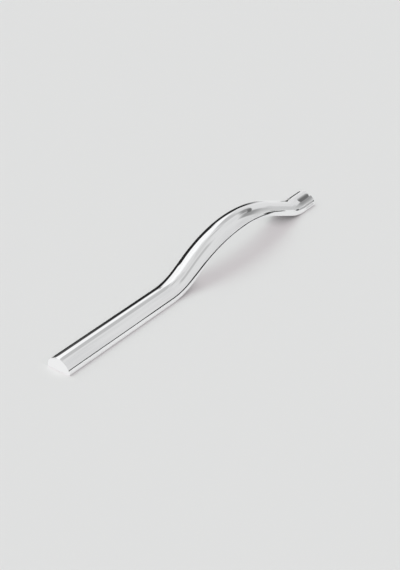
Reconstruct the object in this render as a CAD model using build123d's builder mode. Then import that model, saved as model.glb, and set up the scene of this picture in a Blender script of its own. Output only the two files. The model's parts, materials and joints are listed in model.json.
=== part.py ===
from build123d import *
import os
from math import cos, radians, sin, tan

# Cabinet handle, one casting: a half-round bar that lies flat along a long tail, rises into
# one low arch for the fingers and lands on a short foot.
# The flat back lies in the XY plane and the bar runs along X, tail at -X and foot at +X.
# +Z points away from the door. The origin is midway between the two screw holes.

# Bar section, a half-round on a flat back
bar_width = 18.0
bar_height = 8.75
back_edge_radius = 0.5
end_edge_radius = 0.4

# Line of the back, from the tail over the arch to the foot
grip_clearance = 21.5
rise_angle = 27.0
fall_angle = 22.5
rise_bend_radius = 55.0
crown_radius = 103.0
landing_bend_radius = 42.0
tail_length = 98.0
foot_length = 14.0

# Two blind tapped holes in the back
hole_spacing = 192.0
foot_hole_inset = 7.0
core_diameter = 3.3
mouth_diameter = 4.3
hole_depth = 5.5
drill_point_angle = 118.0


def flank_reach(angle):
    """Distance along X from a flank's corner on the back plane to the crest of the arch."""
    turn = radians(angle)
    return (grip_clearance * cos(turn) + crown_radius * (1 - cos(turn))) / sin(turn)


def bend_setback(bend_radius, angle):
    """Length that a bend takes from the straight run beside its corner."""
    return bend_radius * tan(radians(angle) / 2)


# Corners of the back line before its bends are rounded
foot_end = hole_spacing / 2 + foot_hole_inset
landing_corner = foot_end - foot_length - bend_setback(landing_bend_radius, fall_angle)
crest = landing_corner - flank_reach(fall_angle)
rise_corner = crest - flank_reach(rise_angle)
tail_end = rise_corner - bend_setback(rise_bend_radius, rise_angle) - tail_length
rise_slope = tan(radians(rise_angle))
fall_slope = tan(radians(fall_angle))
crown_corner_height = (landing_corner - rise_corner) / (1 / rise_slope + 1 / fall_slope)
crown_corner = rise_corner + crown_corner_height / rise_slope

# Blind hole, drilled with a conical point and countersunk at its mouth
core_radius = core_diameter / 2
mouth_radius = mouth_diameter / 2
mouth_depth = mouth_radius - core_radius
hole_tip = hole_depth + core_radius / tan(radians(drill_point_angle) / 2)

with BuildPart() as handle_bar:
    with BuildLine(Plane.XZ) as back_line:
        FilletPolyline(
            (tail_end, 0),
            (rise_corner, 0),
            (crown_corner, crown_corner_height),
            (landing_corner, 0),
            (foot_end, 0),
            radius=[rise_bend_radius, crown_radius, landing_bend_radius],
        )

    # The section stands across the tail's end, with its flat back on the back line
    with BuildSketch(Plane(origin=(tail_end, 0, 0), x_dir=(0, 1, 0), z_dir=(1, 0, 0))) as section:
        with BuildLine():
            dome = ThreePointArc((-bar_width / 2, 0), (0, bar_height), (bar_width / 2, 0))
            Line(dome @ 1, dome @ 0)
        make_face()
        fillet(section.vertices(), back_edge_radius)
    sweep(path=back_line.line)

    # Polished edges round both end faces
    end_faces = handle_bar.faces().filter_by(Axis.X).sort_by(Axis.X)
    fillet(end_faces[0].edges() + end_faces[-1].edges(), end_edge_radius)

    # Screw holes, one in the tail and one in the foot
    for hole_x in (-hole_spacing / 2, hole_spacing / 2):
        with BuildSketch(Plane.XZ.shift_origin((hole_x, 0, 0))) as drill:
            with BuildLine():
                Polyline(
                    (0, 0),
                    (mouth_radius, 0),
                    (core_radius, mouth_depth),
                    (core_radius, hole_depth),
                    (0, hole_tip),
                    close=True,
                )
            make_face()
        revolve(axis=Axis((hole_x, 0, 0), (0, 0, 1)), mode=Mode.SUBTRACT)

handle_bar.part.label = "handle_bar"

os.makedirs("parts", exist_ok=True)
export_step(handle_bar.part, "parts/handle_bar.step")
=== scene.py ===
"""Chrome cabinet handle: a half-round bar with a flat tail, a low arch and a short foot.

The bar is one closed surface, a rounded D section carried along the line of the back, with
rounded end edges and two tapped blind holes. It lies on its flat back on a pale floor, in a
tent of soft light with the dark and bright cards that draw lines on polished chrome.
"""

import json
import logging
import math
from dataclasses import dataclass, field
from enum import Enum
from typing import Any, Union

import bpy
import numpy as np
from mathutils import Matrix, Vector


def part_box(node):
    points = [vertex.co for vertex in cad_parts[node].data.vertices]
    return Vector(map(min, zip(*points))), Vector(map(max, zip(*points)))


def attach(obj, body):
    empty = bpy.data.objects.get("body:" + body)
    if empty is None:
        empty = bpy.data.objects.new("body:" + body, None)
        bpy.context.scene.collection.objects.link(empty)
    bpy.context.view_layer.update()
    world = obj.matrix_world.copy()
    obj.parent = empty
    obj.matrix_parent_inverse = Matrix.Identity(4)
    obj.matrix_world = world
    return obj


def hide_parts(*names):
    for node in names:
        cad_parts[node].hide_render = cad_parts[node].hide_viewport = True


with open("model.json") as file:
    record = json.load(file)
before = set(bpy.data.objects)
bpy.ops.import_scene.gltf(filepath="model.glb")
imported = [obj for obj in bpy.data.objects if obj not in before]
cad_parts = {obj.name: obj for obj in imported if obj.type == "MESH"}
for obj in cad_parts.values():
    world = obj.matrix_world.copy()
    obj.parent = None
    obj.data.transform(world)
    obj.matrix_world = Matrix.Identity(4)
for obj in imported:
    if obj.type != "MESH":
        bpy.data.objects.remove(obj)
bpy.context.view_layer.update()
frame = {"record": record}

LOG = logging.getLogger("cabinet_handle")
MILLIMETRE = 0.001
FULL_TURN = 2.0 * math.pi
QUARTER_TURN = math.pi / 2.0
WHITE = (1.0, 1.0, 1.0, 1.0)

Colour = tuple[float, float, float, float]
Value = Union["Wire", float]


class Operation(Enum):
    """What a Math node does with its operands."""

    ADD = "ADD"
    SUBTRACT = "SUBTRACT"
    MULTIPLY = "MULTIPLY"
    POWER = "POWER"
    ARCSINE = "ARCSINE"
    ARCTAN2 = "ARCTAN2"


class MixSocket(Enum):
    """Numbers of a Mix node's sockets when it mixes colours."""

    FIRST = 6
    SECOND = 7
    RESULT = 2


class Wire:
    """A value socket that takes part in arithmetic; each operation adds one Math node."""

    def __init__(self, sheet: "ShaderSheet", socket: bpy.types.NodeSocket | None) -> None:
        """Keeps the node tree's sheet and the socket that carries the value."""
        self.sheet = sheet
        self.socket = socket

    def math(self, operation: Operation, first: Value, second: Value = 0.0) -> "Wire":
        """Adds one Math node.

        Args:
            operation: What the node works out.
            first: Its first operand.
            second: Its second operand, which some operations leave unused.

        Returns:
            The node's result.
        """
        settings = {"operation": operation.value}
        return self.sheet.node("ShaderNodeMath", settings, {0: first, 1: second})

    def __add__(self, other: Value) -> "Wire":
        """Sum with a wire or a number."""
        return self.math(Operation.ADD, self, other)

    def __radd__(self, other: Value) -> "Wire":
        """Sum with a number on the left."""
        return self.math(Operation.ADD, other, self)

    def __sub__(self, other: Value) -> "Wire":
        """Difference from a wire or a number."""
        return self.math(Operation.SUBTRACT, self, other)

    def __rsub__(self, other: Value) -> "Wire":
        """Difference of a number and this wire."""
        return self.math(Operation.SUBTRACT, other, self)

    def __mul__(self, other: Value) -> "Wire":
        """Product with a wire or a number."""
        return self.math(Operation.MULTIPLY, self, other)

    def __rmul__(self, other: Value) -> "Wire":
        """Product with a number on the left."""
        return self.math(Operation.MULTIPLY, other, self)

    def __pow__(self, other: Value) -> "Wire":
        """Power with a wire or a number above."""
        return self.math(Operation.POWER, self, other)

    def ramp(self, low: float, high: float) -> "Wire":
        """Smooth step from 0 at low to 1 at high, or the other way where low is above high."""
        settings = {"interpolation_type": "SMOOTHSTEP"}
        if low < high:
            return self.sheet.node(
                "ShaderNodeMapRange", settings, {"Value": self, "From Min": low, "From Max": high}
            )
        return 1.0 - self.ramp(high, low)


class ShaderSheet:
    """A node tree with one method that adds any node, and short forms of it for common ones."""

    def __init__(self, tree: bpy.types.NodeTree) -> None:
        """Empties the tree, so that each shader starts from nothing."""
        self.tree = tree
        tree.nodes.clear()

    def node(
        self,
        kind: str,
        settings: dict[str, Any] | None = None,
        inputs: dict[Any, Any] | None = None,
        output: Any = 0,
    ) -> Wire:
        """Adds a node, sets it up and feeds its sockets.

        Args:
            kind: The node's type.
            settings: Properties of the node, set before its sockets.
            inputs: Socket name or number to a wire, a number or a colour.
            output: Name or number of the socket to give back.

        Returns:
            The chosen output as a wire, which has no socket where the node has no outputs.
        """
        made = self.tree.nodes.new(kind)
        for name, setting in (settings or {}).items():
            setattr(made, name, setting)
        for name, value in (inputs or {}).items():
            if isinstance(value, Wire):
                self.tree.links.new(value.socket, made.inputs[name])
            else:
                made.inputs[name].default_value = value
        return Wire(self, made.outputs[output] if len(made.outputs) else None)

    def axes(self, vector: Wire) -> tuple[Wire, ...]:
        """X, Y and Z of a vector."""
        split = self.node("ShaderNodeSeparateXYZ", None, {0: vector})
        return tuple(Wire(self, socket) for socket in split.socket.node.outputs)

    def noise(self, vector: Wire, scale: float, detail: float) -> Wire:
        """Noise over a vector."""
        return self.node("ShaderNodeTexNoise", None, {"Vector": vector, "Scale": scale, "Detail": detail})

    def scaled(self, vector: Wire, scale: tuple[float, float, float]) -> Wire:
        """A vector times one factor for each axis."""
        return self.node("ShaderNodeMapping", None, {"Vector": vector, "Scale": Vector(scale)})

    def blend(self, share: Value, first: Any, second: Any) -> Wire:
        """Mixes two colours.

        Args:
            share: 0 for the first colour, 1 for the second.
            first: A colour or a wire.
            second: A colour or a wire.

        Returns:
            The mixed colour.
        """
        return self.node(
            "ShaderNodeMix",
            {"data_type": "RGBA"},
            {"Factor": share, MixSocket.FIRST.value: first, MixSocket.SECOND.value: second},
            MixSocket.RESULT.value,
        )


def make_mesh(name: str, points: np.ndarray, quads: np.ndarray, triangles: np.ndarray) -> bpy.types.Mesh:
    """Puts points and faces into a new mesh.

    Args:
        name: The mesh's name.
        points: Corner positions, one row each, in metres.
        quads: Four point numbers a row.
        triangles: Three point numbers a row.

    Returns:
        The finished mesh.
    """
    corners = np.concatenate([quads.ravel(), triangles.ravel()]).astype(np.int32)
    starts = np.concatenate(
        [np.arange(len(quads)) * 4, len(quads) * 4 + np.arange(len(triangles)) * 3]
    ).astype(np.int32)
    mesh = bpy.data.meshes.new(name)
    mesh.vertices.add(len(points))
    mesh.vertices.foreach_set("co", points.astype(np.float32).ravel())
    mesh.loops.add(len(corners))
    mesh.loops.foreach_set("vertex_index", corners)
    mesh.polygons.add(len(starts))
    mesh.polygons.foreach_set("loop_start", starts)
    mesh.update(calc_edges=True)
    mesh.validate()
    return mesh


def make_quad(name: str, corners: np.ndarray) -> bpy.types.Mesh:
    """Makes a mesh of one four-sided face from its corners, in order."""
    return make_mesh(name, corners, np.arange(4)[None], np.empty((0, 3), dtype=int))


def add_object(name: str, mesh: bpy.types.Mesh, material: bpy.types.Material) -> bpy.types.Object:
    """Adds a mesh object at the origin with one material.

    Args:
        name: The object's name.
        mesh: Its mesh, already in place.
        material: Its only material.

    Returns:
        The linked object.
    """
    mesh.materials.append(material)
    piece = bpy.data.objects.new(name, mesh)
    bpy.context.scene.collection.objects.link(piece)
    return piece


@dataclass(frozen=True)
class ChromePlate:
    """Polished chrome plate, with bare cast metal inside the screw holes.

    The plate is mirror bright with a faint buffed grain along the bar, a slow swell left by
    polishing and a thin haze of handling. The thread is dull zinc grey.
    """

    plate_colour: Colour = (0.94, 0.945, 0.95, 1.0)
    haze_colour: Colour = (0.87, 0.875, 0.885, 1.0)
    bare_colour: Colour = (0.42, 0.42, 0.43, 1.0)
    polish_roughness: float = 0.035
    haze_roughness: float = 0.03
    grain_roughness: float = 0.01
    bare_roughness: float = 0.42
    haze_scale: float = 420.0
    haze_detail: float = 4.0
    haze_range: tuple[float, float] = (0.42, 0.72)
    grain_scale: float = 900.0
    grain_detail: float = 3.0
    grain_height: float = 0.0004 * MILLIMETRE
    grain_stretch: float = 0.04
    swell_scale: float = 55.0
    swell_detail: float = 1.0
    swell_height: float = 0.02 * MILLIMETRE
    end_margin: float = 0.5 * MILLIMETRE
    bare_edge: float = 0.02
    bare_fade: float = 0.05

    def material(
        self,
        ends: tuple[float, float],
        hole_places: tuple[float, float],
        hole_radius: float,
        depth: float,
    ) -> bpy.types.Material:
        """Builds the plate's shader on Object coordinates.

        Args:
            ends: X of the tail's and the foot's end face, which have no buffing haze.
            hole_places: X of each screw hole's axis.
            hole_radius: Radius at the mouth, inside which the metal is bare.
            depth: Height above the back that the bare metal reaches.

        Returns:
            The material.
        """
        made = bpy.data.materials.new("chrome_plate")
        made.use_nodes = True
        sheet = ShaderSheet(made.node_tree)
        place = sheet.node("ShaderNodeTexCoord", output="Object")
        x, y, z = sheet.axes(place)

        # Haze lies in streaks along the bar, alike at every height, and stops at the end faces
        streaks = sheet.scaled(place, (self.grain_stretch, 1.0, 0.0))
        haze = sheet.noise(streaks, self.haze_scale, self.haze_detail).ramp(*self.haze_range)
        haze = haze * x.ramp(ends[0], ends[0] + self.end_margin)
        haze = haze * x.ramp(ends[1], ends[1] - self.end_margin)
        buffed = sheet.scaled(place, (self.grain_stretch, 1.0, 1.0))
        grain = sheet.noise(buffed, self.grain_scale, self.grain_detail)
        swell = sheet.noise(place, self.swell_scale, self.swell_detail)

        # Bare metal fills each hole, up to its tip
        outer = (hole_radius * (1.0 + self.bare_edge)) ** 2
        inner = (hole_radius * (1.0 - self.bare_edge)) ** 2
        bare: Value = 0.0
        for hole_x in hole_places:
            off = x - hole_x
            bare = (off * off + y * y).ramp(outer, inner) + bare
        bare = bare * z.ramp(depth * (1.0 + self.bare_fade), depth)

        tone = sheet.blend(haze, self.plate_colour, self.haze_colour)
        colour = sheet.blend(bare, tone, self.bare_colour)
        polished = self.polish_roughness + haze * self.haze_roughness + grain * self.grain_roughness
        roughness = polished * (1.0 - bare) + bare * self.bare_roughness
        height = swell * self.swell_height + grain * self.grain_height
        normal = sheet.node("ShaderNodeBump", None, {"Height": height, "Strength": 1.0, "Distance": 1.0})
        surface = sheet.node(
            "ShaderNodeBsdfPrincipled",
            None,
            {"Base Color": colour, "Metallic": 1.0, "Roughness": roughness, "Normal": normal},
        )
        sheet.node("ShaderNodeOutputMaterial", None, {"Surface": surface})
        return made


@dataclass
class BackLine:
    """Line of the bar's flat back in the XZ plane: straight runs joined by tangent arcs."""

    tail_end: float
    grip_clearance: float = 21.5 * MILLIMETRE
    rise_angle: float = math.radians(27.0)
    fall_angle: float = math.radians(22.5)
    rise_bend_radius: float = 55.0 * MILLIMETRE
    crown_radius: float = 103.0 * MILLIMETRE
    landing_bend_radius: float = 42.0 * MILLIMETRE
    tail_length: float = 98.0 * MILLIMETRE
    foot_length: float = 14.0 * MILLIMETRE

    def __post_init__(self) -> None:
        """Works out where each run starts, its heading and its curvature."""
        rise_run = self.flank_run(self.rise_bend_radius, self.rise_angle)
        fall_run = self.flank_run(self.landing_bend_radius, self.fall_angle)
        crown_turn = self.rise_angle + self.fall_angle
        lengths = [
            self.tail_length,
            self.rise_bend_radius * self.rise_angle,
            rise_run,
            self.crown_radius * crown_turn,
            fall_run,
            self.landing_bend_radius * self.fall_angle,
            self.foot_length,
        ]
        turns = [0.0, self.rise_angle, 0.0, -crown_turn, 0.0, self.fall_angle, 0.0]
        self.lengths = np.array(lengths)
        self.curvatures = np.array(turns) / self.lengths
        self.starts = np.concatenate([[0.0], np.cumsum(lengths)])
        self.headings = np.concatenate([[0.0], np.cumsum(turns)])
        half_turns = np.array(turns) / 2.0
        chords = self.lengths * np.sinc(half_turns / math.pi)
        steps_x = chords * np.cos(self.headings[:-1] + half_turns)
        steps_z = chords * np.sin(self.headings[:-1] + half_turns)
        self.corners_x = self.tail_end + np.concatenate([[0.0], np.cumsum(steps_x)])
        self.corners_z = np.concatenate([[0.0], np.cumsum(steps_z)])

    def flank_run(self, bend_radius: float, angle: float) -> float:
        """Straight stretch of a flank that brings the crest to the grip clearance."""
        bends = (bend_radius + self.crown_radius) * (1.0 - math.cos(angle))
        return (self.grip_clearance - bends) / math.sin(angle)

    @property
    def length(self) -> float:
        """Length of the whole line, end to end."""
        return float(self.starts[-1])

    def at(self, travel: np.ndarray) -> tuple[np.ndarray, np.ndarray, np.ndarray]:
        """Places points along the line.

        A run of constant curvature k covers, in a travel s, a chord of s times sin(ks/2) over
        ks/2, at the run's first heading plus ks/2. A straight run is the case k = 0.

        Args:
            travel: Distance along the line from the tail's end.

        Returns:
            X, Z and heading of each point.
        """
        run = np.clip(np.searchsorted(self.starts, travel, side="right") - 1, 0, len(self.lengths) - 1)
        past = travel - self.starts[run]
        half_turn = self.curvatures[run] * past / 2.0
        chord = past * np.sinc(half_turn / math.pi)
        heading = self.headings[run] + half_turn
        x = self.corners_x[run] + chord * np.cos(heading)
        z = self.corners_z[run] + chord * np.sin(heading)
        return x, z, heading + half_turn


@dataclass
class BarSection:
    """The bar's D section: one arc over a flat back, with small round back edges."""

    width: float = 18.0 * MILLIMETRE
    height: float = 8.75 * MILLIMETRE
    back_edge_radius: float = 0.5 * MILLIMETRE
    dome_steps: int = 96
    edge_steps: int = 8
    back_steps: int = 32

    def __post_init__(self) -> None:
        """Works out the arc through the three given points and the centres of the edges."""
        half = self.width / 2.0
        self.dome_radius = (half * half + self.height * self.height) / (2.0 * self.height)
        self.dome_centre = self.height - self.dome_radius
        reach = self.dome_radius - self.back_edge_radius
        rise = self.back_edge_radius - self.dome_centre
        self.edge_centre = math.sqrt(reach * reach - rise * rise)
        self.edge_angle = math.atan2(rise, self.edge_centre)

    def loop(self) -> tuple[np.ndarray, np.ndarray]:
        """Points and outward normals, once round the section from the -Y end of the flat back.

        The loop runs along the back to the +Y edge, round it, over the dome and round the -Y
        edge. Each round stretch is centre plus radius times the normal at an even angle.

        Returns:
            Positions (Y, Z) and normals (Y, Z), one row a point, without a repeated end.
        """
        far_angle = math.pi - self.edge_angle
        far_end = math.pi + QUARTER_TURN
        first_edge = np.linspace(-QUARTER_TURN, self.edge_angle, self.edge_steps, endpoint=False)
        dome = np.linspace(self.edge_angle, far_angle, self.dome_steps, endpoint=False)
        last_edge = np.linspace(far_angle, far_end, self.edge_steps, endpoint=False)
        back = np.linspace(-self.edge_centre, self.edge_centre, self.back_steps, endpoint=False)

        angles = np.concatenate([first_edge, dome, last_edge])
        normals = np.stack([np.cos(angles), np.sin(angles)], axis=1)
        counts = [self.edge_steps, self.dome_steps, self.edge_steps]
        radius = np.repeat([self.back_edge_radius, self.dome_radius, self.back_edge_radius], counts)
        centre_y = np.repeat([self.edge_centre, 0.0, -self.edge_centre], counts)
        centre_z = np.repeat([self.back_edge_radius, self.dome_centre, self.back_edge_radius], counts)
        round_points = np.stack([centre_y, centre_z], axis=1) + radius[:, None] * normals
        back_points = np.stack([back, np.zeros(len(back))], axis=1)
        back_normals = np.tile([0.0, -1.0], (len(back), 1))
        return np.concatenate([back_points, round_points]), np.concatenate([back_normals, normals])


@dataclass
class TappedHole:
    """A blind screw hole: countersunk mouth, thread, plain core and drill point."""

    place: float
    core_radius: float = 1.65 * MILLIMETRE
    root_radius: float = 2.0 * MILLIMETRE
    mouth_radius: float = 2.15 * MILLIMETRE
    pitch: float = 0.7 * MILLIMETRE
    depth: float = 5.5 * MILLIMETRE
    thread_end: float = 4.9 * MILLIMETRE
    point_angle: float = math.radians(118.0)
    run_in: float = 0.4
    flat_share: float = 0.125
    steps_a_turn: int = 14

    @property
    def mouth_depth(self) -> float:
        """Depth of the 45 degree countersink."""
        return self.mouth_radius - self.core_radius

    @property
    def tip(self) -> float:
        """Depth of the drill point's tip."""
        return self.depth + self.core_radius / math.tan(self.point_angle / 2.0)

    def wall(self, angles: np.ndarray) -> np.ndarray:
        """Surface of the hole below its mouth, as a radius over angle and depth.

        The radius is the core radius plus the thread's depth times a triangle wave of depth over
        pitch less angle over a turn, with its crest and root cut flat. The wave fades in below the
        countersink and out at its end.

        Args:
            angles: Angle of each column about the hole's axis.

        Returns:
            Points as a grid of rows by columns by three.
        """
        turns = (self.thread_end - self.mouth_depth) / self.pitch
        threaded = np.linspace(self.mouth_depth, self.thread_end, int(turns * self.steps_a_turn) + 1)
        heights = np.concatenate([threaded, [self.depth]])
        phase = heights[:, None] / self.pitch - angles[None, :] / FULL_TURN
        wave = 1.0 - np.abs(2.0 * (phase - np.floor(phase)) - 1.0)
        fade_in = np.clip((heights - self.mouth_depth) / (self.run_in * self.pitch), 0.0, 1.0)
        fade_out = np.clip((self.thread_end - heights) / self.pitch, 0.0, 1.0)
        flattened = (1.0 + 2.0 * self.flat_share) * wave - self.flat_share
        cut = np.clip(flattened, 0.0, 1.0) * (fade_in * fade_out)[:, None]
        radius = self.core_radius + (self.root_radius - self.core_radius) * cut
        grid = np.empty(radius.shape + (3,))
        grid[..., 0] = self.place + radius * np.cos(angles)
        grid[..., 1] = radius * np.sin(angles)
        grid[..., 2] = heights[:, None]
        return grid


@dataclass
class HandleBar:
    """The whole handle, one casting: the section carried along the back line, ends and holes."""

    tail_end: float
    hole_spacing: float
    section: BarSection = field(default_factory=BarSection)
    finish: ChromePlate = field(default_factory=ChromePlate)
    end_edge_radius: float = 0.4 * MILLIMETRE
    end_edge_steps: int = 8
    face_rings: tuple[float, ...] = (0.985, 0.75, 0.45, 0.2)
    face_middle: float = 0.45
    straight_step: float = 3.0 * MILLIMETRE
    bend_step: float = 0.55 * MILLIMETRE
    fewest_steps: int = 2
    hole_patch_cells: int = 14
    patch_margin: float = 0.05
    patch_rings: int = 5
    sharp_angle: float = math.radians(32.0)

    def __post_init__(self) -> None:
        """Lays the back line and sets out the two holes on it."""
        self.line = BackLine(self.tail_end)
        self.holes = (TappedHole(-self.hole_spacing / 2.0), TappedHole(self.hole_spacing / 2.0))
        cell = 2.0 * self.section.edge_centre / self.section.back_steps
        self.patch_half = self.hole_patch_cells / 2.0 * cell

    def stations(self) -> np.ndarray:
        """Distances along the line at which a section stands, finer in the bends and at holes."""
        edges = self.line.starts.copy()
        edges[0] = self.end_edge_radius
        edges[-1] = self.line.length - self.end_edge_radius
        marks = [edges[-1:]]
        for start, end, curvature in zip(edges[:-1], edges[1:], self.line.curvatures):
            step = self.bend_step if abs(curvature) > 0.0 else self.straight_step
            steps = max(int((end - start) / step), self.fewest_steps)
            marks.append(np.linspace(start, end, steps, endpoint=False))
        travels = np.concatenate(marks)
        patch = np.linspace(-self.patch_half, self.patch_half, self.hole_patch_cells + 1)
        clearance = self.patch_half * (1.0 + self.patch_margin)
        for hole in self.holes:
            middle = self.travel_to(hole.place)
            clear = np.abs(travels - middle) >= clearance
            travels = np.concatenate([travels[clear], middle + patch])
        return np.sort(travels)

    def travel_to(self, x: float) -> float:
        """Distance along the line to a place on the tail or on the foot."""
        if x < self.line.corners_x[1]:
            return x - self.tail_end
        return self.line.length - (self.line.corners_x[-1] - x)

    def rows(self) -> np.ndarray:
        """Every ring of the bar's skin, from one end face over the bar to the other.

        Along the bar a ring is the section on the line. At an end edge the ring is drawn in by
        r times 1 - cos(a) and set back by r times 1 - sin(a), with a from 0 to a quarter turn.
        On an end face it shrinks towards the section's middle.

        Returns:
            Points as a grid of rows by section points by three.
        """
        points, normals = self.section.loop()
        travel = self.stations()
        turn = np.linspace(0.0, QUARTER_TURN, self.end_edge_steps + 1)[1:]
        drawn = self.end_edge_radius * (1.0 - np.cos(turn))
        back = self.end_edge_radius * (1.0 - np.sin(turn))
        shrink = np.array(self.face_rings)
        face = np.full(len(shrink), self.end_edge_radius)

        travels = np.concatenate(
            [np.zeros(len(shrink)), back[::-1], travel, self.line.length - back,
             np.full(len(shrink), self.line.length)]
        )
        inset = np.concatenate([face, drawn[::-1], np.zeros(len(travel)), drawn, face])
        scale = np.concatenate([shrink[::-1], np.ones(len(turn) * 2 + len(travel)), shrink])
        middle = np.array([0.0, self.section.height * self.face_middle])
        flat = points[None] - inset[:, None, None] * normals[None]
        flat = middle + (flat - middle) * scale[:, None, None]
        x, z, heading = self.line.at(travels)
        grid = np.empty(flat.shape[:2] + (3,))
        grid[..., 0] = x[:, None] - np.sin(heading)[:, None] * flat[..., 1]
        grid[..., 1] = flat[..., 0]
        grid[..., 2] = z[:, None] + np.cos(heading)[:, None] * flat[..., 1]
        return grid

    def build(self) -> bpy.types.Object:
        """Joins the skin, its two end faces and the two holes into one closed mesh.

        Returns:
            The dressed handle, riding on the root body in place of its solid.
        """
        grid = self.rows()
        count, around = grid.shape[:2]
        numbers = np.arange(count * around).reshape(count, around)
        ahead = np.roll(numbers, -1, axis=1)
        cells = np.stack([numbers[:-1], ahead[:-1], ahead[1:], numbers[1:]], axis=-1)
        open_cells = np.ones(cells.shape[:2], dtype=bool)
        points = [grid.reshape(-1, 3)]
        total = count * around
        quads: list[np.ndarray] = []
        triangles: list[np.ndarray] = []

        for row, flip in ((0, False), (count - 1, True)):
            points.append(grid[row].mean(axis=0, keepdims=True))
            fan = np.stack([ahead[row], numbers[row], np.full(around, total)], axis=1)
            triangles.append(fan[:, ::-1] if flip else fan)
            total += 1

        first_column = (self.section.back_steps - self.hole_patch_cells) // 2
        columns = first_column + np.arange(self.hole_patch_cells + 1)
        middle_x = grid[:, self.section.back_steps // 2, 0]
        for hole in self.holes:
            lowest = int(np.argmin(np.abs(middle_x - (hole.place - self.patch_half))))
            stretch = lowest + np.arange(self.hole_patch_cells + 1)
            open_cells[stretch[0]:stretch[-1], columns[0]:columns[-1]] = False
            rim = np.concatenate(
                [
                    numbers[stretch[0], columns[:-1]],
                    numbers[stretch[:-1], columns[-1]],
                    numbers[stretch[-1], columns[:0:-1]],
                    numbers[stretch[:0:-1], columns[0]],
                ]
            )
            start = points[0][rim]
            angles = np.arctan2(start[:, 1], start[:, 0] - hole.place)
            mouth = np.stack(
                [hole.place + hole.mouth_radius * np.cos(angles), hole.mouth_radius * np.sin(angles),
                 np.zeros(len(angles))],
                axis=1,
            )
            share = np.linspace(0.0, 1.0, self.patch_rings + 1)[1:, None, None]
            skirt = start[None] + (mouth - start)[None] * share
            rings = np.concatenate([skirt, hole.wall(angles)])
            ring_numbers = total + np.arange(rings.shape[0] * len(rim)).reshape(rings.shape[:2])
            points.append(rings.reshape(-1, 3))
            total += rings.shape[0] * len(rim)
            ladder = np.concatenate([rim[None], ring_numbers])
            onward = np.roll(ladder, -1, axis=1)
            quads.append(
                np.stack([ladder[:-1], onward[:-1], onward[1:], ladder[1:]], axis=-1).reshape(-1, 4)
            )
            points.append(np.array([[hole.place, 0.0, hole.tip]]))
            triangles.append(np.stack([ladder[-1], onward[-1], np.full(len(rim), total)], axis=1))
            total += 1

        quads.append(cells[open_cells])
        mesh = make_mesh(
            "handle_bar_mesh", np.concatenate(points), np.concatenate(quads), np.concatenate(triangles)
        )
        mesh.shade_smooth()
        mesh.set_sharp_from_angle(angle=self.sharp_angle)
        first, second = self.holes
        ends = (self.tail_end, float(self.line.corners_x[-1]))
        plate = self.finish.material(ends, (first.place, second.place), first.mouth_radius, first.tip)
        piece = add_object("chrome_bar", mesh, plate)
        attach(piece, "root")
        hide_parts("handle_bar")
        LOG.info("chrome_bar: %d points, %d faces", len(mesh.vertices), len(mesh.polygons))
        return piece


@dataclass(frozen=True)
class LightPanel:
    """A soft-edged patch of the light tent, given by bearing and height in degrees."""

    bearing: tuple[float, float]
    height: tuple[float, float]
    softness: tuple[float, float]
    brightness: float


@dataclass(frozen=True)
class StageCard:
    """A flat card that only reflections meet: a parallelogram from one corner and two edges.

    The four softness values are the shares of its sides over which it fades out, at the start
    and end of edge a and at the start and end of edge b.
    """

    name: str
    corner: tuple[float, float, float]
    edge_a: tuple[float, float, float]
    edge_b: tuple[float, float, float]
    brightness: float
    softness: tuple[float, float, float, float] = (0.0, 0.0, 0.0, 0.0)


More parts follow.
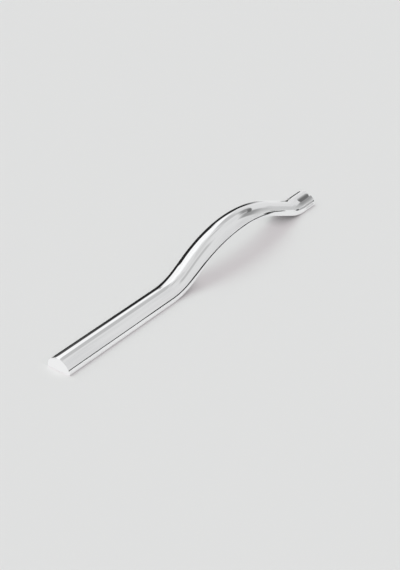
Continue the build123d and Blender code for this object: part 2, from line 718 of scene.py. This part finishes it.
@dataclass
class Studio:
    """Floor, light tent, cards and camera, whose bearing and height are in degrees."""

    floor_colour: Colour = (0.38, 0.38, 0.38, 1.0)
    floor_half: float = 6.0
    floor_drop: float = 0.05 * MILLIMETRE
    floor_glow: Colour = (0.378, 0.360, 0.367, 1.0)
    # Painted contact shadow and painted bounce light, both drawn in the floor's glow
    painted_shade_reach: float = 10.0 * MILLIMETRE
    painted_shade_depth: float = 1.0
    painted_shade_power: float = 1.6
    painted_shade_samples: int = 8
    painted_bounce_gain: float = 1.2
    end_margin: float = 0.5 * MILLIMETRE
    chrome_lift: float = 1.25
    backdrop: Colour = (0.745, 0.745, 0.745, 1.0)
    low_light: Colour = (0.62, 0.595, 0.605, 1.0)
    top_light: Colour = (4.7, 5.7, 5.3, 1.0)
    top_light_lean: float = math.radians(30.0)
    top_light_reach: tuple[float, float] = (math.radians(23.0), math.radians(11.0))
    tent_brightness: float = 0.75
    camera_bearing: float = -53.616
    camera_height: float = 31.005
    camera_distance: float = 0.7481
    camera_target: tuple[float, float, float] = (-0.04182, -0.00878, 0.0)
    camera_clip: float = 0.01
    focal_pixels: float = 1131.95
    frame_pixels: float = 570.0
    panels: tuple[LightPanel, ...] = (
        LightPanel((-110.0, 30.0), (72.0, 95.0), (20.0, 8.0), 0.66),
        LightPanel((-100.0, -58.0), (50.0, 64.0), (8.0, 5.0), 0.52),
        LightPanel((-30.0, -12.0), (42.0, 56.0), (8.0, 6.0), 0.72),
        LightPanel((-45.0, -10.0), (-12.0, 22.0), (3.0, 7.0), 0.70),
        LightPanel((-36.5, -12.0), (-12.0, 8.0), (3.0, 4.0), 0.65),
        LightPanel((16.0, 36.0), (-5.0, 22.0), (9.0, 6.0), 0.82),
        LightPanel((7.0, 42.0), (38.0, 58.0), (6.0, 6.0), 0.54),
        LightPanel((-4.0, 16.0), (60.0, 76.0), (6.0, 6.0), 0.54),
        LightPanel((36.5, 125.0), (10.0, 68.0), (4.0, 7.0), 1.03),
        LightPanel((62.0, 150.0), (10.0, 75.0), (10.0, 8.0), 1.03),
        LightPanel((37.5, 140.0), (-40.0, 19.5), (3.0, 4.0), 0.04),
    )
    cards: tuple[StageCard, ...] = (
        # Behind the bar: the dark band along its far side
        StageCard(
            "back_flag", (-0.1667, 0.0095, 0.0002), (0.15, 0.0, 0.0), (0.42, 0.60, 0.0), 0.03,
            (0.02, 0.0, 0.0, 0.0),
        ),
        StageCard(
            "crest_flag", (-0.075, 0.0095, 0.0002), (0.15, 0.0, 0.0), (0.85, 0.60, 0.0), 0.02,
            (0.0, 0.9, 0.0, 0.0),
        ),
        StageCard(
            "foot_flag", (0.0932, 0.0095, 0.0002), (0.0195, 0.0, 0.0), (0.0273, 0.0205, 0.0), 0.02,
            (0.03, 0.0, 0.0, 0.0),
        ),
        StageCard(
            "foot_line", (0.1026, 0.016, 0.0035), (0.0152, 0.0, 0.0), (0.0, 0.0, 0.0075), 0.02,
            (0.03, 0.03, 0.0, 0.1),
        ),
        StageCard(
            "foot_pale", (0.0925, 0.0104, 0.0084), (0.0255, 0.0, 0.0), (0.0, 0.0, 0.009), 0.8,
            (0.1, 0.1, 0.0, 0.3),
        ),
        StageCard(
            "tail_card", (-0.122, 0.08, -0.0245), (0.207, 0.0, 0.004), (0.0, 0.0, 0.063), 0.02,
            (0.02, 0.17, 0.0, 0.08),
        ),
        StageCard(
            "tail_haze", (-0.125, 0.0795, -0.0245), (0.095, 0.0, 0.0), (0.0, 0.0, 0.063), 0.085,
            (0.0, 0.9, 0.0, 0.08),
        ),
        StageCard(
            "crest_card", (0.0, 0.081, -0.02), (0.222, 0.0, 0.005), (0.0, 0.0, 0.085), 0.02,
            (0.18, 0.40, 0.5, 0.08),
        ),
        StageCard(
            "rise_card", (-0.0432, 0.03, 0.0155), (0.0607, 0.0, 0.0205), (0.0, 0.0, 0.015), 0.02,
            (0.05, 0.25, 0.2, 0.12),
        ),
        # In front of the bar: the thin line along its near side
        StageCard(
            "near_sheet", (-0.3, -0.09, 0.0003), (1.2, 0.0, 0.0), (0.0, -1.5, 0.0), 0.68,
            (0.1, 0.1, 0.03, 0.0),
        ),
        StageCard(
            "side_strip", (-0.45, -0.06, 0.0015), (0.45, 0.0, 0.0), (0.0, 0.0, 0.0075), 0.02,
            (0.3, 0.035, 0.1, 0.1),
        ),
        StageCard(
            "bend_strip", (-0.06, -0.0602, 0.0003), (0.06, 0.0, 0.0), (0.0, 0.0, 0.0105), 0.02,
            (0.3, 0.2, 0.1, 0.1),
        ),
        StageCard(
            "rise_strip", (-0.046, -0.03, 0.0031), (0.051, 0.0, 0.0054), (0.0, 0.0, 0.0066), 0.03,
            (0.2, 0.2, 0.1, 0.1),
        ),
        StageCard(
            "arch_strip", (-0.006, -0.0301, 0.0076), (0.052, 0.0, 0.0022), (0.0, 0.0, 0.0066), 0.05,
            (0.15, 0.25, 0.1, 0.1),
        ),
        StageCard(
            "crest_strip", (0.05, -0.05, 0.0026), (0.065, 0.0, -0.0026), (0.0, 0.0, 0.0075), 0.02,
            (0.25, 0.2, 0.1, 0.1),
        ),
        StageCard(
            "side_block", (0.108, -0.0605, 0.001), (0.038, 0.0, -0.003), (0.0, 0.0, 0.0145), 0.02,
            (0.4, 0.35, 0.08, 0.12),
        ),
        StageCard(
            "fall_strip", (0.078, -0.03, 0.0112), (0.038, 0.0, -0.0042), (0.002, 0.0, 0.0033), 0.02,
            (0.05, 0.25, 0.06, 0.06),
        ),
        StageCard(
            "fall_pale", (0.094, -0.0301, 0.0128), (0.026, 0.0, -0.0032), (0.004, 0.0, 0.003), 0.75,
            (0.15, 0.15, 0.05, 0.2),
        ),
        StageCard(
            "foot_strip", (0.14, -0.061, 0.005), (0.032, 0.0, 0.0), (0.0, 0.0, 0.007), 0.42,
            (0.2, 0.2, 0.2, 0.3),
        ),
        StageCard(
            "landing_dash", (0.1664, -0.0604, 0.0005), (0.022, 0.0, 0.0), (0.005, 0.0, 0.0135), 0.02,
            (0.06, 0.2, 0.05, 0.15),
        ),
        StageCard(
            "foot_streak", (0.147, -0.0606, 0.0005), (0.0215, 0.0, 0.0), (0.0, 0.0, 0.02), 0.42,
            (0.1, 0.1, 0.1, 0.25),
        ),
        # Painted shadow: a dim sheet before the foot, seen only in reflections, in place of the floor's
        # contact shade there
        StageCard(
            "foot_painted_shadow", (0.092, -0.0105, 0.0001), (0.013, 0.0, 0.0), (0.028, -0.023, 0.0), 0.62,
            (0.2, 0.1, 0.1, 0.3),
        ),
        # Before the tail's end: the light that whitens its face
        StageCard("end_bounce", (-0.26, -0.03, 0.0001), (0.0899, 0.0, 0.0), (0.0, 0.11, 0.0), 0.9),
        # Beyond the foot: the soft marks on the crest and on the foot
        StageCard(
            "far_dim", (0.397, -0.20, -0.02), (0.0, 0.20, 0.0), (0.0, 0.0, 0.15), 0.6,
            (0.3, 0.4, 0.25, 0.35),
        ),
        StageCard(
            "far_post", (0.396, -0.27, 0.018), (0.0, 0.205, 0.0), (0.0, 0.0, 0.362), 0.32,
            (0.25, 0.27, 0.53, 0.3),
        ),
        StageCard(
            "far_shade", (0.395, -0.10, 0.25), (0.0, 0.23, 0.0), (0.0, 0.0, 0.15), 0.3,
            (0.25, 0.35, 0.2, 0.6),
        ),
        StageCard(
            "far_bar", (0.394, -0.131, 0.222), (0.0, 0.271, 0.0), (0.0, 0.0, 0.055), 0.16,
            (0.07, 0.58, 0.2, 0.2),
        ),
    )

    def build(self, tail_end: float) -> None:
        """Sets the stage, the light and the camera.

        Args:
            tail_end: X of the tail's end face.
        """
        bpy.context.scene.view_settings.view_transform = "Standard"
        self.lay_floor(tail_end)
        for card in self.cards:
            self.stand_card(card)
        self.hang_tent()
        self.set_camera()
        LOG.info("studio: floor, tent of %d panels and %d cards", len(self.panels), len(self.cards))

    def lay_floor(self, tail_end: float) -> None:
        """Lays a pale floor just under the back, a little lighter where chrome reflects it.

        The floor's glow holds a painted contact shadow: it darkens where the bar comes close. In front of
        the tail's polished end face the glow is painted brighter instead, as painted bounce light from
        that face.

        Args:
            tail_end: X of the tail's end face.
        """
        made = bpy.data.materials.new("pale_floor")
        made.use_nodes = True
        sheet = ShaderSheet(made.node_tree)
        matt = sheet.node("ShaderNodeBsdfDiffuse", None, {"Color": self.floor_colour})
        camera_ray = sheet.node("ShaderNodeLightPath", output="Is Camera Ray")
        glossy_ray = sheet.node("ShaderNodeLightPath", output="Is Glossy Ray")
        open_share = sheet.node(
            "ShaderNodeAmbientOcclusion",
            {"samples": self.painted_shade_samples},
            {"Distance": self.painted_shade_reach},
            output="AO",
        )
        # Painted contact shadow: ambient occlusion dims the floor's glow near the bar; before the tail's
        # end face the glow is painted brighter as bounce light
        along, _, _ = sheet.axes(sheet.node("ShaderNodeTexCoord", output="Object"))
        beside = along.ramp(tail_end, tail_end + self.end_margin)
        depth = beside * (self.painted_shade_depth + self.painted_bounce_gain) - self.painted_bounce_gain
        painted_contact_shade = (1.0 - open_share) ** self.painted_shade_power
        level = (camera_ray + glossy_ray * self.chrome_lift) * (1.0 - depth * painted_contact_shade)
        glow = sheet.node("ShaderNodeEmission", None, {"Color": self.floor_glow, "Strength": level})
        both = sheet.node("ShaderNodeAddShader", None, {0: matt, 1: glow})
        sheet.node("ShaderNodeOutputMaterial", None, {"Surface": both})
        half = self.floor_half
        corners = np.array([[-half, -half], [half, -half], [half, half], [-half, half]])
        points = np.column_stack([corners, np.full(len(corners), -self.floor_drop)])
        add_object("pale_floor", make_quad("floor_mesh", points), made)

    def stand_card(self, card: StageCard) -> None:
        """Puts up one card that only reflections meet.

        Args:
            card: Its place, size, brightness and soft sides.
        """
        made = bpy.data.materials.new(card.name)
        made.use_nodes = True
        sheet = ShaderSheet(made.node_tree)
        along, up, _ = sheet.axes(sheet.node("ShaderNodeTexCoord", output="UV"))
        first, last, low, high = card.softness
        solid: Value = 1.0
        for way, start, end in ((along, first, last), (up, low, high)):
            solid = way.ramp(0.0, start) * solid if start else solid
            solid = way.ramp(1.0, 1.0 - end) * solid if end else solid
        glow = sheet.node("ShaderNodeEmission", None, {"Strength": card.brightness})
        clear = sheet.node("ShaderNodeBsdfTransparent")
        mixed = sheet.node("ShaderNodeMixShader", None, {0: solid, 1: clear, 2: glow})
        sheet.node("ShaderNodeOutputMaterial", None, {"Surface": mixed})
        corner, edge_a, edge_b = (np.array(v) for v in (card.corner, card.edge_a, card.edge_b))
        points = np.stack([corner, corner + edge_a, corner + edge_a + edge_b, corner + edge_b])
        mesh = make_quad(card.name, points)
        shares = np.array([[0.0, 0.0], [1.0, 0.0], [1.0, 1.0], [0.0, 1.0]], dtype=np.float32)
        mesh.uv_layers.new(name="card").data.foreach_set("uv", shares.ravel())
        piece = add_object(card.name, mesh, made)
        piece.visible_camera = False
        piece.visible_shadow = False
        piece.visible_diffuse = False

    def hang_tent(self) -> None:
        """Makes the light tent: soft top light, panels that chrome reflects, a plain backdrop.

        Matt surfaces are lit by an even glow that is stronger overhead. Reflections see the
        panels, each one a product of smooth steps in bearing and height over those before it.
        """
        world = bpy.data.worlds.new("light_tent")
        bpy.context.scene.world = world
        world.use_nodes = True
        sheet = ShaderSheet(world.node_tree)
        x, y, z = sheet.axes(sheet.node("ShaderNodeTexCoord", output="Generated"))
        bearing = x.math(Operation.ARCTAN2, y, x) * math.degrees(1.0)
        height = z.math(Operation.ARCSINE, z) * math.degrees(1.0)
        light: Value = self.tent_brightness
        for panel in self.panels:
            soft_b, soft_h = panel.softness
            (left, right), (low, high) = panel.bearing, panel.height
            mask = (
                bearing.ramp(left - soft_b, left + soft_b)
                * bearing.ramp(right + soft_b, right - soft_b)
                * height.ramp(low - soft_h, low + soft_h)
                * height.ramp(high + soft_h, high - soft_h)
            )
            light = light * (1.0 - mask) + mask * panel.brightness
        panels = sheet.node("ShaderNodeBackground", None, {"Color": WHITE, "Strength": light})
        wide, narrow = self.top_light_reach
        overhead = y * math.sin(self.top_light_lean) + z * math.cos(self.top_light_lean)
        low_glow = sheet.node("ShaderNodeBackground", None, {"Color": self.low_light})
        top_glow = sheet.node("ShaderNodeBackground", None, {"Color": self.top_light})
        top_share = overhead.ramp(math.cos(wide), math.cos(narrow))
        glow = sheet.node("ShaderNodeMixShader", None, {0: top_share, 1: low_glow, 2: top_glow})
        glossy_ray = sheet.node("ShaderNodeLightPath", output="Is Glossy Ray")
        tent = sheet.node("ShaderNodeMixShader", None, {0: glossy_ray, 1: glow, 2: panels})
        plain = sheet.node("ShaderNodeBackground", None, {"Color": self.backdrop})
        camera_ray = sheet.node("ShaderNodeLightPath", output="Is Camera Ray")
        seen = sheet.node("ShaderNodeMixShader", None, {0: camera_ray, 1: tent, 2: plain})
        sheet.node("ShaderNodeOutputWorld", None, {"Surface": seen})

    def set_camera(self) -> None:
        """Looks down along the tail from in front of its end, as the photograph does."""
        turn, tilt = math.radians(self.camera_bearing), math.radians(self.camera_height)
        away = Vector(
            (math.sin(turn) * math.cos(tilt), -math.cos(turn) * math.cos(tilt), math.sin(tilt))
        )
        data = bpy.data.cameras.new("view_camera")
        data.lens = self.focal_pixels / self.frame_pixels * data.sensor_width
        data.clip_start = self.camera_clip
        camera = bpy.data.objects.new("view_camera", data)
        camera.location = Vector(self.camera_target) + away * self.camera_distance
        camera.rotation_euler = away.to_track_quat("Z", "Y").to_euler()
        bpy.context.scene.collection.objects.link(camera)
        bpy.context.scene.camera = camera


def screw_spacing(record: dict[str, Any]) -> float:
    """Distance between the screw holes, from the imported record's mount, in metres."""
    mounts = {mount["name"]: mount for mount in record["mounts"]}
    return mounts["screw_holes"]["dims"]["spacing_x_mm"] * MILLIMETRE


def main() -> None:
    """Builds the handle and its studio, in order."""
    logging.basicConfig(level=logging.INFO, format="%(message)s")
    lowest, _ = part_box("handle_bar")
    HandleBar(tail_end=lowest.x, hole_spacing=screw_spacing(frame["record"])).build()
    Studio().build(lowest.x)


if __name__ == "__main__":
    main()
